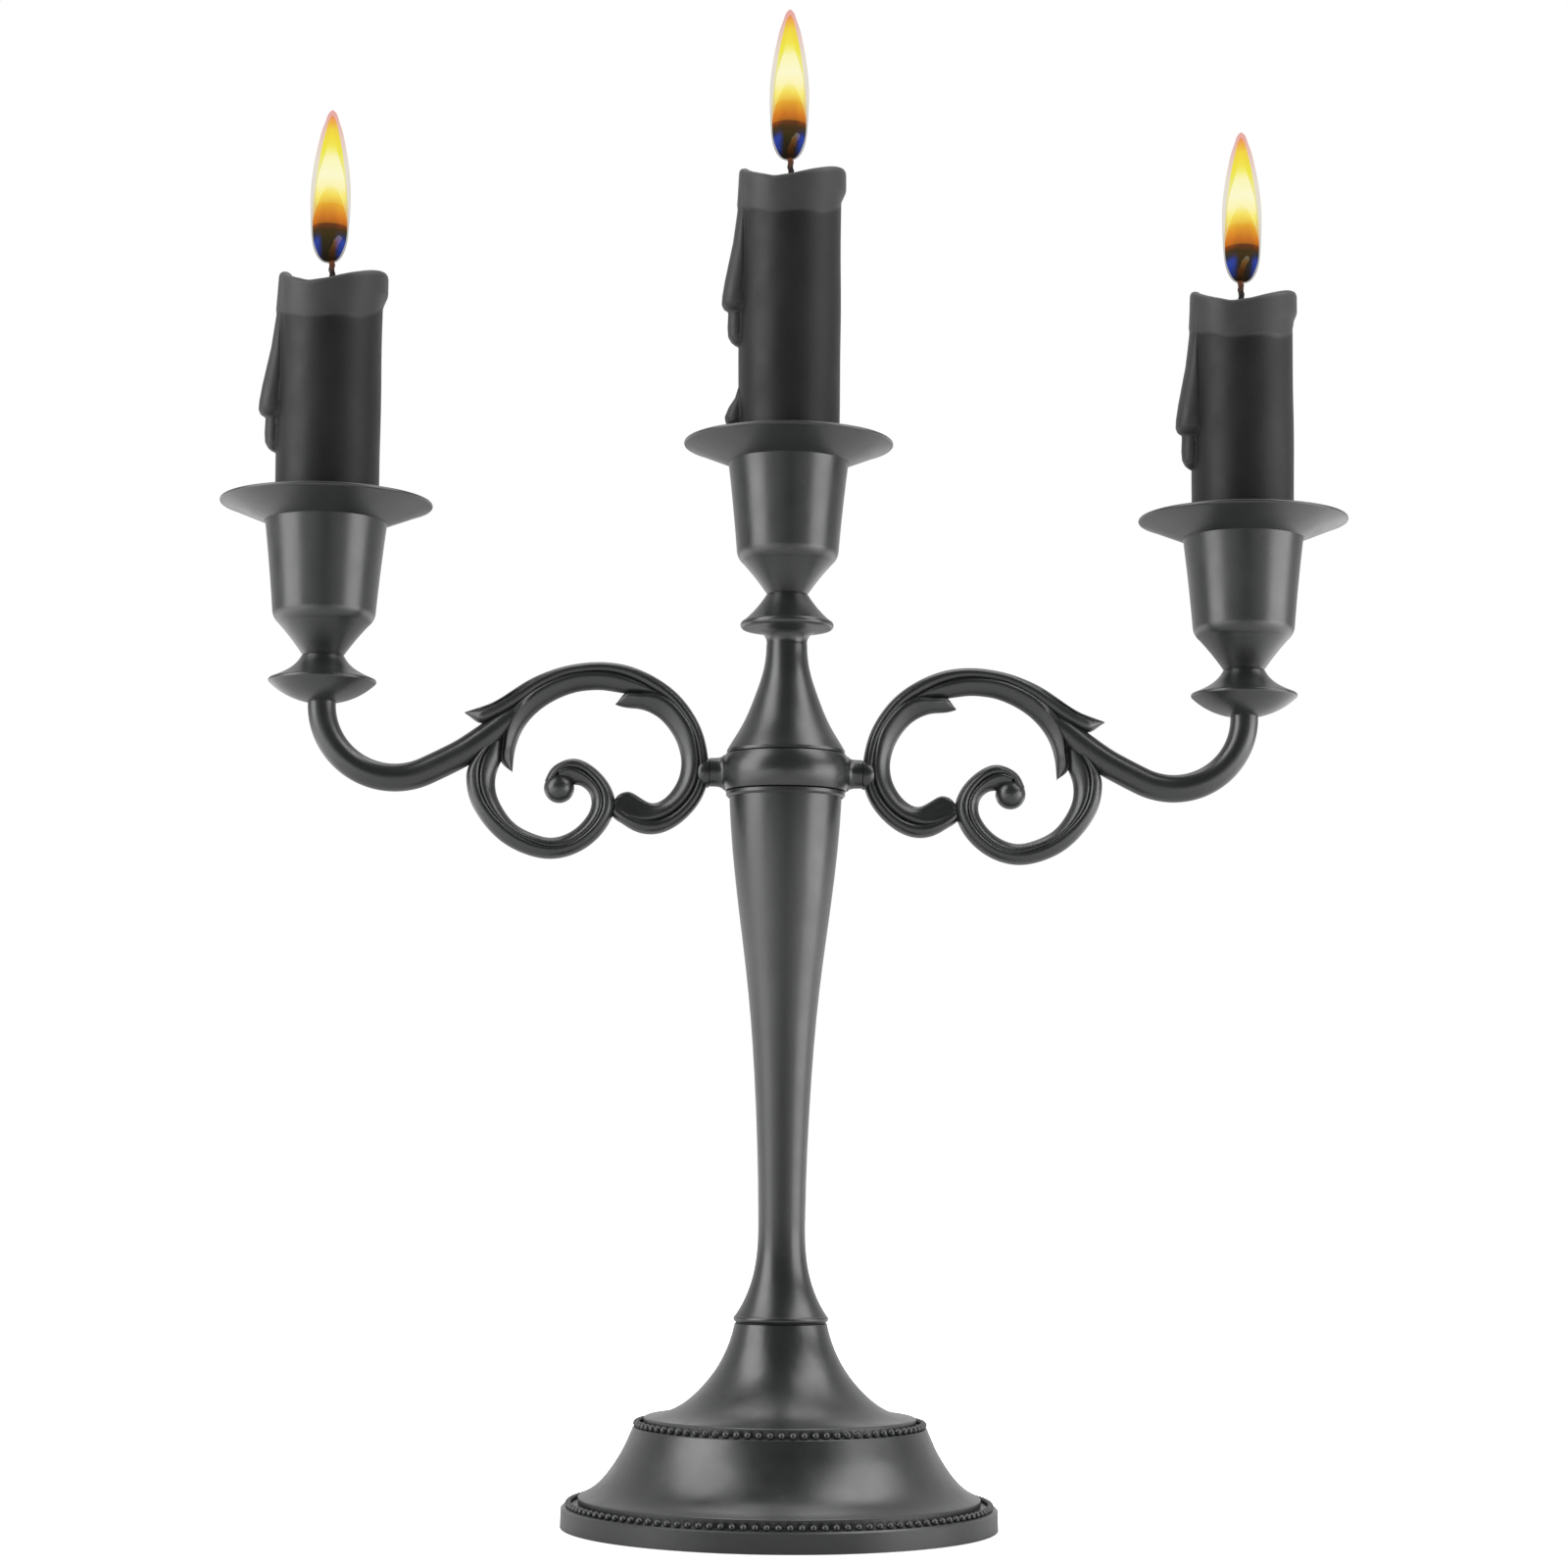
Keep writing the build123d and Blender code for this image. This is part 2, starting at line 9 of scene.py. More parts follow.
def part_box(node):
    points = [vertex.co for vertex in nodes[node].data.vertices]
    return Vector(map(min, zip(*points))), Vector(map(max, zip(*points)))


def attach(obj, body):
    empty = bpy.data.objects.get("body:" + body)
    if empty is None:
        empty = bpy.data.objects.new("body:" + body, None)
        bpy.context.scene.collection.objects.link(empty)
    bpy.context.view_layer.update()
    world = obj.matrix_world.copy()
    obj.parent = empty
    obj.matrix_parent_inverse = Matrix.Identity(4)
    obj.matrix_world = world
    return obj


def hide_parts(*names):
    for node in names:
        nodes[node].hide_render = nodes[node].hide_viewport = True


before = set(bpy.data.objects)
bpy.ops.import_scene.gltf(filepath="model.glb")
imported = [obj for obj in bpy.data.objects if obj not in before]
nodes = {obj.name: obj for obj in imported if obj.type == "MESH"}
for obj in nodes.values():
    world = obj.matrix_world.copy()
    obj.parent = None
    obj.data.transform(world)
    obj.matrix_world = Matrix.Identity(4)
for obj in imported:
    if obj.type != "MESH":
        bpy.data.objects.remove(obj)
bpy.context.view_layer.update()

MM = 0.001


# --- Sizes read from the frame, in millimetres ---------------------------------------------
def box_mm(node):
    lo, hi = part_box(node)
    return [v / MM for v in lo], [v / MM for v in hi]


ring_lo, ring_hi = box_mm("arm_ring")
ARM_LEVEL = (ring_lo[2] + ring_hi[2]) / 2
RING_END = ring_hi[0]
knop_lo, knop_hi = box_mm("knop_right")
ARM_REACH = (knop_lo[0] + knop_hi[0]) / 2
KNOP_UNDERSIDE = knop_lo[2]

LIGHTS = ("left", "middle", "right")
CUP_X = {"left": -ARM_REACH, "middle": 0.0, "right": ARM_REACH}


# --- Meshes -----------------------------------------------------------------------------------
def make_mesh(name, verts, faces, materials, face_slots=None, sharp=40, location=(0, 0, 0)):
    """An object from points in millimetres, placed at location, also in millimetres."""
    mesh = bpy.data.meshes.new(name)
    mesh.from_pydata([tuple(v) for v in np.asarray(verts, float) * MM], [], faces)
    for material in materials:
        mesh.materials.append(material)
    if face_slots is not None:
        mesh.polygons.foreach_set("material_index", face_slots)
    mesh.polygons.foreach_set("use_smooth", [True] * len(mesh.polygons))
    mesh.update()
    if sharp:
        mesh.set_sharp_from_angle(angle=math.radians(sharp))
    obj = bpy.data.objects.new(name, mesh)
    obj.location = Vector(location) * MM
    bpy.context.scene.collection.objects.link(obj)
    return obj


class Parts:
    """Collects closed shells into one list of points and faces."""

    def __init__(self):
        self.verts, self.faces, self.slots, self.count = [], [], [], 0

    def add(self, verts, faces, slot=0):
        self.verts.append(np.asarray(verts, float))
        self.faces += [tuple(i + self.count for i in face) for face in faces]
        self.slots += [slot] * len(faces)
        self.count += len(verts)

    def loft(self, rings, slot=0, ends=None):
        """A closed tube through rings of points, with a point at the middle of each end."""
        rings = np.asarray(rings, float)
        n, m = rings.shape[:2]
        if ends is None:
            ends = [rings[0].mean(axis=0), rings[-1].mean(axis=0)]
        pairs = [(j, (j + 1) % m) for j in range(m)]
        faces = [(i * m + j, i * m + k, (i + 1) * m + k, (i + 1) * m + j)
                 for i in range(n - 1) for j, k in pairs]
        faces += [(k, j, n * m) for j, k in pairs]
        faces += [((n - 1) * m + j, (n - 1) * m + k, n * m + 1) for j, k in pairs]
        self.add(list(rings.reshape(-1, 3)) + list(ends), faces, slot)

    def revolve(self, profile, foot, top, segments, slot):
        """A closed shell turned round Z from (radius, height) pairs, between two heights on the axis."""
        turns = np.linspace(0, 2 * np.pi, segments, endpoint=False)
        rings = [np.stack([r * np.cos(turns), r * np.sin(turns), np.full(segments, z)], 1)
                 for r, z in profile]
        self.loft(rings, slot, ends=[(0, 0, foot), (0, 0, top)])



def spline(rows, t, step):
    """Natural cubic spline through the rows, at parameters t, resampled about every step."""
    rows, t = np.asarray(rows, float), np.asarray(t, float)
    n = len(t)
    h = np.diff(t)
    system, right = np.zeros((n, n)), np.zeros((n, rows.shape[1]))
    system[0, 0] = system[-1, -1] = 1
    for i in range(1, n - 1):
        system[i, i - 1:i + 2] = h[i - 1], 2 * (h[i - 1] + h[i]), h[i]
        right[i] = 6 * ((rows[i + 1] - rows[i]) / h[i] - (rows[i] - rows[i - 1]) / h[i - 1])
    bend = np.linalg.solve(system, right)
    at = np.linspace(t[0], t[-1], max(8, int(round((t[-1] - t[0]) / step))))
    k = np.clip(np.searchsorted(t, at) - 1, 0, n - 2)
    a, b = (t[k + 1] - at)[:, None], (at - t[k])[:, None]
    hk = h[k][:, None]
    return at, (bend[k] * a ** 3 + bend[k + 1] * b ** 3) / (6 * hk) + (
        rows[k] / hk - bend[k] * hk / 6) * a + (rows[k + 1] / hk - bend[k + 1] * hk / 6) * b


# --- Materials ---------------------------------------------------------------------------------
class Nodes:
    """Short ways to build one material's node tree."""

    def __init__(self, name):
        self.material = bpy.data.materials.new(name)
        self.material.use_nodes = True
        self.tree = self.material.node_tree
        self.shader = self.tree.nodes["Principled BSDF"]
        coords = self.tree.nodes.new("ShaderNodeTexCoord")
        self.place = coords.outputs["Object"]

    def node(self, kind, **inputs):
        made = self.tree.nodes.new(kind)
        for name, value in inputs.items():
            made.inputs[name.replace("_", " ")].default_value = value
        return made

    def link(self, a, b):
        self.tree.links.new(a, b)

    def noise(self, scale, detail=3.0, rough=0.55):
        made = self.node("ShaderNodeTexNoise", Scale=scale, Detail=detail, Roughness=rough)
        self.link(self.place, made.inputs["Vector"])
        return made.outputs["Fac"]

    def ramp(self, source, stops):
        made = self.tree.nodes.new("ShaderNodeValToRGB")
        elements = made.color_ramp.elements
        while len(elements) < len(stops):
            elements.new(0.5)
        for element, (at, value) in zip(elements, stops):
            element.position = at
            element.color = (*value, 1) if len(value) == 3 else value
        self.link(source, made.inputs["Fac"])
        return made.outputs["Color"]

    def feed(self, socket, value):
        """Link a socket to another, or set it to a number or a colour."""
        if hasattr(value, "is_linked"):
            self.link(value, socket)
        else:
            socket.default_value = value if isinstance(value, (int, float)) else (*value, 1)

    def calc(self, operation, *values):
        made = self.tree.nodes.new("ShaderNodeMath")
        made.operation = operation
        for socket, value in zip(made.inputs, values):
            self.feed(socket, value)
        return made.outputs[0]

    def split(self):
        """The X, Y and Z of a point in the object's own space."""
        made = self.tree.nodes.new("ShaderNodeSeparateXYZ")
        self.link(self.place, made.inputs[0])
        return made.outputs

    def rescale(self, source, start, end, low=0.0, high=1.0, smooth=False):
        made = self.tree.nodes.new("ShaderNodeMapRange")
        if smooth:
            made.interpolation_type = "SMOOTHSTEP"
        for socket, value in (("From Min", start), ("From Max", end), ("To Min", low), ("To Max", high)):
            made.inputs[socket].default_value = value
        self.link(source, made.inputs["Value"])
        return made.outputs["Result"]

    def spread(self, source, low, high):
        """Noise keeps near the middle of its range, so this spreads that middle from low to high."""
        return self.rescale(source, 0.3, 0.7, low, high)

    def mix(self, factor, a, b):
        made = self.tree.nodes.new("ShaderNodeMix")
        made.data_type = "RGBA"
        for socket, value in ((made.inputs["Factor"], factor), (made.inputs[6], a), (made.inputs[7], b)):
            self.feed(socket, value)
        return made.outputs[2]

    def bump(self, height, strength, distance, after=None):
        made = self.node("ShaderNodeBump", Strength=strength, Distance=distance)
        self.link(height, made.inputs["Height"])
        if after is not None:
            self.link(after, made.inputs["Normal"])
        return made.outputs["Normal"]

    def finish(self, colour=None, rough=None, normal=None, **plain):
        for name, value in plain.items():
            self.shader.inputs[name.replace("_", " ")].default_value = value
        for socket, source in (("Base Color", colour), ("Roughness", rough), ("Normal", normal)):
            if source is not None:
                self.link(source, self.shader.inputs[socket])
        return self.material


def coated_metal(name, dark, light, rough=(0.29, 0.37)):
    """Satin charcoal coating over a sand casting: soft clouding, fine grain, a few specks."""
    m = Nodes(name)
    clouds = m.noise(38, 4)
    grain = m.noise(2600, 2, 0.6)
    specks = m.noise(900, 1.5, 0.5)
    tone = m.mix(m.spread(clouds, 0, 1), dark, light)
    fleck = m.ramp(specks, [(0.0, (0, 0, 0)), (0.66, (0, 0, 0)), (0.76, (1, 1, 1))])
    tone = m.mix(fleck, tone, tuple(v * 1.5 for v in light))
    rough_map = m.spread(m.noise(160, 3), *rough)
    normal = m.bump(grain, 0.20, 0.00005)
    normal = m.bump(m.noise(90, 2), 0.05, 0.0005, normal)
    return m.finish(tone, rough_map, normal, Metallic=0.0, Specular_IOR_Level=0.9)


black_metal = coated_metal("black_metal", (0.0110, 0.0118, 0.0123), (0.0150, 0.0160, 0.0166))


def plated_steel():
    m = Nodes("plated_steel")
    streak = m.noise(420, 4, 0.7)
    tone = m.mix(m.spread(streak, 0, 1), (0.36, 0.37, 0.39), (0.55, 0.55, 0.57))
    return m.finish(tone, m.spread(m.noise(900, 3), 0.25, 0.42), m.bump(streak, 0.1, 0.00004), Metallic=1.0)


steel = plated_steel()


def felt_material():
    m = Nodes("felt")
    fibres = m.noise(2200, 5, 0.75)
    tone = m.mix(m.spread(fibres, 0, 1), (0.018, 0.018, 0.02), (0.05, 0.05, 0.053))
    rough = m.spread(m.noise(300, 2), 0.86, 0.98)
    return m.finish(tone, rough, m.bump(fibres, 0.7, 0.0004), Sheen_Weight=0.25)


felt = felt_material()


def wax_material():
    """Dyed wax: darker on the plain wall. Where it has melted and run, its colour is paler: a painted sheen.
    """
    m = Nodes("black_wax")
    melt_sheen = m.tree.nodes.new("ShaderNodeAttribute")
    melt_sheen.attribute_name = "melt_sheen"
    clouds = m.noise(60, 4)
    plain = m.mix(m.spread(clouds, 0, 1), (0.0075, 0.0075, 0.0078), (0.0105, 0.0105, 0.011))
    # Painted sheen: the paler colour that melted wax is given on its cap, runs and top.
    melt_sheen_tone = m.mix(m.spread(clouds, 0, 1), (0.034, 0.034, 0.035), (0.048, 0.048, 0.049))
    tone = m.mix(melt_sheen.outputs["Fac"], plain, melt_sheen_tone)
    rough = m.spread(m.noise(140, 3), 0.44, 0.56)
    normal = m.bump(m.noise(1500, 2), 0.08, 0.00005)
    normal = m.bump(m.noise(120, 3), 0.18, 0.0006, normal)
    return m.finish(tone, rough, normal, Subsurface_Weight=0.0, Specular_IOR_Level=0.33)


wax = wax_material()


WICK_TOP = 9.6                 # above the rim of the wax


def wick_material():
    """Charred cotton, brown to its glowing end."""
    m = Nodes("wick")
    height = m.rescale(m.split()["Z"], 0.0, WICK_TOP * MM)
    fibres = m.noise(2600, 3, 0.7)
    glow = m.ramp(height, [
        (0.0, (0.0, 0.0, 0.0)), (0.35, (0.05, 0.012, 0.001)), (0.62, (0.40, 0.09, 0.006)),
        (0.84, (1.0, 0.42, 0.10)), (0.93, (1.0, 0.86, 0.60)),
    ])
    m.link(glow, m.shader.inputs["Emission Color"])
    tone = m.mix(m.spread(fibres, 0, 1), (0.012, 0.009, 0.007), (0.05, 0.035, 0.026))
    return m.finish(tone, m.spread(fibres, 0.8, 0.95), m.bump(fibres, 0.6, 0.0002), Emission_Strength=2.6)


wick_look = wick_material()


def srgb(*levels):
    return tuple((v / 255) ** 2.2 for v in levels)


FLAME_TOP = 39.6               # above the foot of the flame
FLAME_SHIMMER = 0.0016         # how far the colours waver up and down, in metres


def flame_shell(name, colours, alphas, strength=1.0, sides=None):
    """Glow that changes with height above the foot of the flame, and fades by its own ramp."""
    m = Nodes(name)
    place = m.split()
    wavering = m.calc("MULTIPLY_ADD", m.noise(420, 2), FLAME_SHIMMER, place["Z"])
    height = m.rescale(wavering, FLAME_SHIMMER / 2, FLAME_TOP * MM + FLAME_SHIMMER / 2)
    colour = m.ramp(height, [(z / FLAME_TOP, srgb(*c)) for z, c in colours])
    if sides is not None:
        # Blue to the left and right of the wick, dark in front of it and behind.
        aside = m.rescale(m.calc("ABSOLUTE", place["X"]), 0.0013, 0.0030, smooth=True)
        colour = m.mix(aside, colour, m.ramp(height, [(z / FLAME_TOP, srgb(*c)) for z, c in sides]))
    m.link(colour, m.shader.inputs["Emission Color"])
    fade = m.ramp(height, [(z / FLAME_TOP, (a, a, a)) for z, a in alphas])
    m.link(fade, m.shader.inputs["Alpha"])
    return m.finish(
        Base_Color=(0, 0, 0, 1), Specular_IOR_Level=0.0, Roughness=1.0, Emission_Strength=strength
    )


flame_fringe = flame_shell(
    "flame_fringe",
    [(0, (40, 34, 26)), (8, (96, 88, 60)), (16, (170, 150, 96)), (26, (190, 160, 104)), (33, (206, 128, 96)),
     (38, (214, 96, 70))],
    [(0, 0.42), (6, 0.36), (14, 0.24), (26, 0.24), (34, 0.34), (39, 0.42)],
)
flame_edge = flame_shell(
    "flame_edge",
    [(0, (200, 130, 20)), (10, (248, 150, 30)), (16, (255, 232, 60)), (22, (255, 255, 150)),
     (28, (252, 252, 60)), (34, (255, 240, 50)), (38, (250, 160, 80))],
    [(0, 0.0), (6.5, 0.0), (9.5, 0.45), (14, 0.5), (19, 0.5), (26, 0.6), (30, 0.9), (36, 0.85), (39.5, 0.5)],
)
flame_core = flame_shell(
    "flame_core",
    [(0, (255, 240, 120)), (17, (255, 250, 140)), (19, (255, 255, 225)), (22, (255, 255, 255)),
     (27, (255, 255, 255)), (30, (255, 255, 170)), (32, (255, 255, 60)), (36, (255, 240, 30))],
    [(0, 0.0), (13.5, 0.0), (17, 0.6), (20, 1.0), (30, 1.0), (36, 0.9)],
    strength=1.3,
)
flame_heart = flame_shell(
    "flame_heart",
    [(0, (18, 12, 6)), (7.2, (30, 24, 6)), (8.6, (96, 30, 0)), (10.4, (190, 56, 0)), (13.0, (224, 100, 0)),
     (15.8, (246, 160, 0)), (18.3, (254, 220, 0)), (20.2, (255, 250, 90))],
    [(0, 0.90), (7.6, 0.94), (10.0, 1.0), (20.3, 1.0)],
    sides=[(0, (8, 12, 20)), (1.8, (16, 56, 150)), (4.6, (24, 72, 196)), (6.2, (14, 30, 74)),
           (7.4, (30, 24, 8)), (8.8, (140, 50, 6)), (10.4, (226, 96, 20)), (13.0, (246, 132, 20)),
           (15.8, (252, 190, 30)), (18.3, (252, 236, 60)), (20.2, (255, 250, 110))],
)

STEEL_NODES = {"base_washer", "base_bolt", "column_stud"} | {f"cup_screw_{light}" for light in LIGHTS}
for node_name, node in nodes.items():
    if node_name in STEEL_NODES:
        finish = steel
    elif node_name == "base_pad":
        finish = felt
    elif node_name.startswith(("candle", "wick", "flame")):
        continue
    else:
        finish = black_metal
    node.data.materials.clear()
    node.data.materials.append(finish)


# --- Arms --------------------------------------------------------------------------------------
# Each lobe of an arm runs between two edges. A station is: x and height of one edge, x and height
# of the other (heights from the arm level), half thickness, bluntness of the section, depth of
# the leaf's crease and hollow of the face. The last two are left out where they are nothing.
def lobe(parts, stations, crease_at=0.5, lean=0.0, step=0.7, around=24, side=1):
    """A lobe of the arm. A positive lean makes it thicker towards its first edge."""
    rows = np.array([tuple(s) + (0.0,) * (8 - len(s)) for s in stations], float)
    middle = (rows[:, 0:2] + rows[:, 2:4]) / 2
    t = np.concatenate([[0], np.cumsum(np.maximum(np.linalg.norm(np.diff(middle, axis=0), axis=1), 0.3))])
    at, edges = spline(rows[:, :4], t, step)
    extra = np.stack([np.interp(at, t, rows[:, k]) for k in range(4, 8)], 1)
    phi = np.linspace(0, np.pi, around)
    u = -np.cos(phi)
    rings = []
    for (ax, az, bx, bz), (thick, blunt, crease, hollow) in zip(edges, extra):
        shape = np.sqrt(np.clip(1 - np.abs(u) ** blunt, 0, 1))
        shape *= 1 - crease * np.clip(1 - np.abs(u - crease_at) / 0.24, 0, 1)
        shape *= (1 - hollow * np.clip(1 - u * u, 0, 1) ** 1.2) * (1 + lean * (u - 0.4))
        depth = thick * shape
        x = (ax + bx) / 2 + (ax - bx) / 2 * u
        z = ARM_LEVEL + (az + bz) / 2 + (az - bz) / 2 * u
        front = np.stack([side * x, -depth, z], 1)
        back = np.stack([side * x, depth, z], 1)[-2:0:-1]
        ring = np.concatenate([front, back])
        rings.append(ring if side > 0 else ring[::-1])
    parts.loft(rings)


def tube(parts, path, radii, around=32, side=1):
    """A round rod along (x, height) points."""
    path = np.asarray(path, float)
    along = np.gradient(path, axis=0)
    along /= np.linalg.norm(along, axis=1)[:, None]
    phi = np.linspace(0, 2 * np.pi, around, endpoint=False)
    rings = []
    for (x, z), (dx, dz), r in zip(path, along, radii):
        ring = np.stack([
            side * (x - dz * r * np.cos(phi)), r * np.sin(phi), ARM_LEVEL + z + dx * r * np.cos(phi)], 1)
        rings.append(ring if side > 0 else ring[::-1])
    parts.loft(rings)


def arcs(stations, step=0.7):
    """Points along tangent arcs, two between each pair of (x, height, heading) stations."""
    points = []
    for (x0, z0, turn0), (x1, z1, turn1) in zip(stations, stations[1:]):
        start, end = np.array([x0, z0]), np.array([x1, z1])
        leave = np.array([math.cos(math.radians(turn0)), math.sin(math.radians(turn0))])
        arrive = np.array([math.cos(math.radians(turn1)), math.sin(math.radians(turn1))])
        span, lean = end - start, leave + arrive
        bend = 2 * (1 - leave @ arrive)
        reach = (math.sqrt((span @ lean) ** 2 + bend * span @ span) - span @ lean) / bend
        joint = (start + leave * reach + end - arrive * reach) / 2
        for p, direction, q in ((start, leave, joint), (end, -arrive, joint)):
            chord = q - p
            length = np.linalg.norm(chord)
            half = math.atan2(direction[0] * chord[1] - direction[1] * chord[0], direction @ chord)
            count = max(2, int(length / step))
            piece = []
            for i in range(count + 1):
                f = i / count
                if abs(half) < 1e-6:
                    piece.append(p + chord * f)
                    continue
                arm = length / (2 * math.sin(half))
                angle = 2 * half * f
                side = np.array([-direction[1], direction[0]])
                piece.append(p + direction * arm * math.sin(angle) + side * arm * (1 - math.cos(angle)))
            if p is end:
                piece.reverse()
            points += piece if not points else piece[1:]
    return np.array(points)


# Outer lobe: from the tip of the upper leaf round the big scroll to the blunt end.
OUTER_LOBE = [
    (80.4, 14.2, 80.4, 13.9, 0.5, 2.0, 0.0),
    (79.0, 14.7, 79.2, 13.1, 1.3, 2.6, 0.2),
    (75.8, 15.8, 76.6, 11.5, 2.7, 3.4, 0.34),
    (73.0, 17.0, 73.2, 12.5, 3.3, 3.8, 0.34),
    (69.3, 19.4, 69.2, 14.6, 3.4, 3.4, 0.30),
    (65.8, 21.8, 65.0, 17.4, 3.3, 2.8, 0.22),
    (62.8, 23.5, 61.6, 19.8, 3.1, 2.4, 0.10),
    (59.3, 25.0, 58.3, 21.6, 2.9, 2.2, 0.0),
    (55.9, 26.1, 55.2, 23.0, 2.8, 2.2, 0.0),
    (52.0, 26.9, 51.7, 23.8, 2.8, 2.2, 0.0),
    (48.3, 27.3, 48.2, 24.2, 2.8, 2.2, 0.0),
    (41.5, 26.9, 42.6, 23.8, 2.8, 2.2, 0.0),
    (35.5, 25.0, 37.2, 22.0, 2.8, 2.2, 0.0),
    (30.5, 22.2, 32.7, 19.5, 2.8, 2.2, 0.0),
    (26.5, 18.8, 29.0, 16.6, 2.8, 2.2, 0.0),
    (23.4, 14.8, 26.2, 13.2, 2.8, 2.2, 0.0),
    (21.2, 10.6, 24.1, 9.6, 2.8, 2.2, 0.0),
    (19.8, 5.6, 22.9, 5.2, 2.7, 2.2, 0.0),
    (19.3, 1.0, 22.5, 1.2, 2.7, 2.2, 0.0),
    (19.6, -2.6, 22.9, -2.0, 2.7, 2.2, 0.0),
    (20.9, -6.5, 24.2, -5.3, 2.8, 2.2, 0.0),
    (23.8, -10.6, 26.6, -8.5, 2.9, 2.2, 0.0),
    (28.0, -14.1, 29.7, -10.9, 3.0, 2.2, 0.0),
    (32.9, -15.8, 33.4, -12.0, 3.0, 2.2, 0.0),
    (38.0, -14.9, 37.2, -11.4, 2.9, 2.2, 0.0),
    (41.2, -13.0, 39.8, -10.2, 2.6, 2.2, 0.0),
    (43.4, -11.2, 42.0, -8.6, 2.0, 2.2, 0.0),
    (44.0, -9.6, 43.6, -8.4, 1.2, 2.0, 0.0),
]
# Inner lobe of the top of the scroll: from the tip of the inner leaf to where the small leaf rises.
TOP_LOBE = [
    (68.4, -0.6, 68.3, -0.8, 0.5, 2.0, 0.0),
    (69.6, 0.2, 68.2, 0.9, 1.2, 2.2, 0.2),
    (71.2, 1.9, 68.0, 3.2, 2.4, 2.8, 0.32),
    (71.1, 5.0, 67.6, 5.4, 3.2, 3.2, 0.34),
    (70.9, 8.3, 66.8, 8.0, 3.5, 3.2, 0.32),
    (70.4, 11.4, 65.4, 10.8, 3.6, 3.0, 0.28),
    (69.0, 14.4, 63.5, 13.3, 3.6, 2.8, 0.20),
    (66.9, 17.3, 61.0, 15.6, 3.6, 2.6, 0.10),
    (63.9, 20.0, 57.9, 17.6, 3.5, 2.4, 0.0),
    (59.9, 22.4, 54.8, 19.0, 3.4, 2.3, 0.0),
    (56.0, 24.0, 52.1, 19.8, 3.3, 2.2, 0.0),
    (51.8, 24.9, 49.2, 20.2, 3.3, 2.2, 0.0),
    (47.5, 25.1, 46.6, 20.3, 3.3, 2.2, 0.0),
    (43.0, 24.7, 43.8, 20.0, 3.2, 2.2, 0.0),
    (38.9, 23.5, 40.5, 19.5, 3.0, 2.2, 0.0),
    (35.2, 21.8, 36.8, 19.1, 2.6, 2.2, 0.0),
    (32.2, 20.0, 33.2, 18.7, 2.0, 2.2, 0.0),
    (30.3, 18.6, 30.5, 18.2, 1.2, 2.0, 0.0),
]
# Small leaf, which becomes the inner lobe of the scroll and ends in the hollow, blunt end.
SMALL_LOBE = [
    (42.9, 16.8, 42.7, 16.6, 0.5, 2.0, 0.0, 0.0),
    (41.9, 18.0, 41.5, 16.2, 1.4, 2.4, 0.0, 0.0),
    (40.7, 19.5, 39.9, 15.9, 2.3, 2.6, 0.0, 0.0),
    (37.5, 19.7, 37.3, 15.7, 3.0, 2.6, 0.0, 0.0),
    (33.8, 20.0, 34.9, 15.1, 3.3, 2.4, 0.0, 0.0),
    (29.4, 18.8, 32.0, 13.5, 3.4, 2.2, 0.0, 0.0),
    (25.4, 15.0, 29.2, 10.5, 3.4, 2.2, 0.0, 0.0),
    (22.8, 10.6, 27.5, 7.6, 3.4, 2.2, 0.0, 0.0),
    (21.7, 6.2, 26.6, 5.0, 3.4, 2.2, 0.0, 0.0),
    (21.3, 2.5, 26.2, 2.3, 3.4, 2.2, 0.0, 0.0),
    (21.6, -1.2, 26.7, -1.3, 3.4, 2.2, 0.0, 0.0),
    (23.1, -5.4, 28.4, -4.7, 3.4, 2.2, 0.0, 0.0),
    (26.0, -9.1, 30.6, -7.0, 3.3, 2.2, 0.0, 0.0),
    (29.7, -11.7, 33.2, -8.0, 3.2, 2.3, 0.0, 0.05),
    (33.4, -12.9, 35.3, -7.3, 3.1, 2.5, 0.0, 0.2),
    (36.8, -12.9, 37.4, -6.0, 3.0, 2.8, 0.0, 0.34),
    (39.7, -11.9, 39.2, -5.2, 2.9, 3.0, 0.0, 0.40),
    (42.0, -10.4, 40.9, -5.5, 2.7, 3.0, 0.0, 0.40),
    (43.1, -9.0, 42.4, -6.7, 2.1, 2.6, 0.0, 0.3),
    (43.3, -8.4, 43.0, -7.6, 1.2, 2.0, 0.0, 0.1),
]
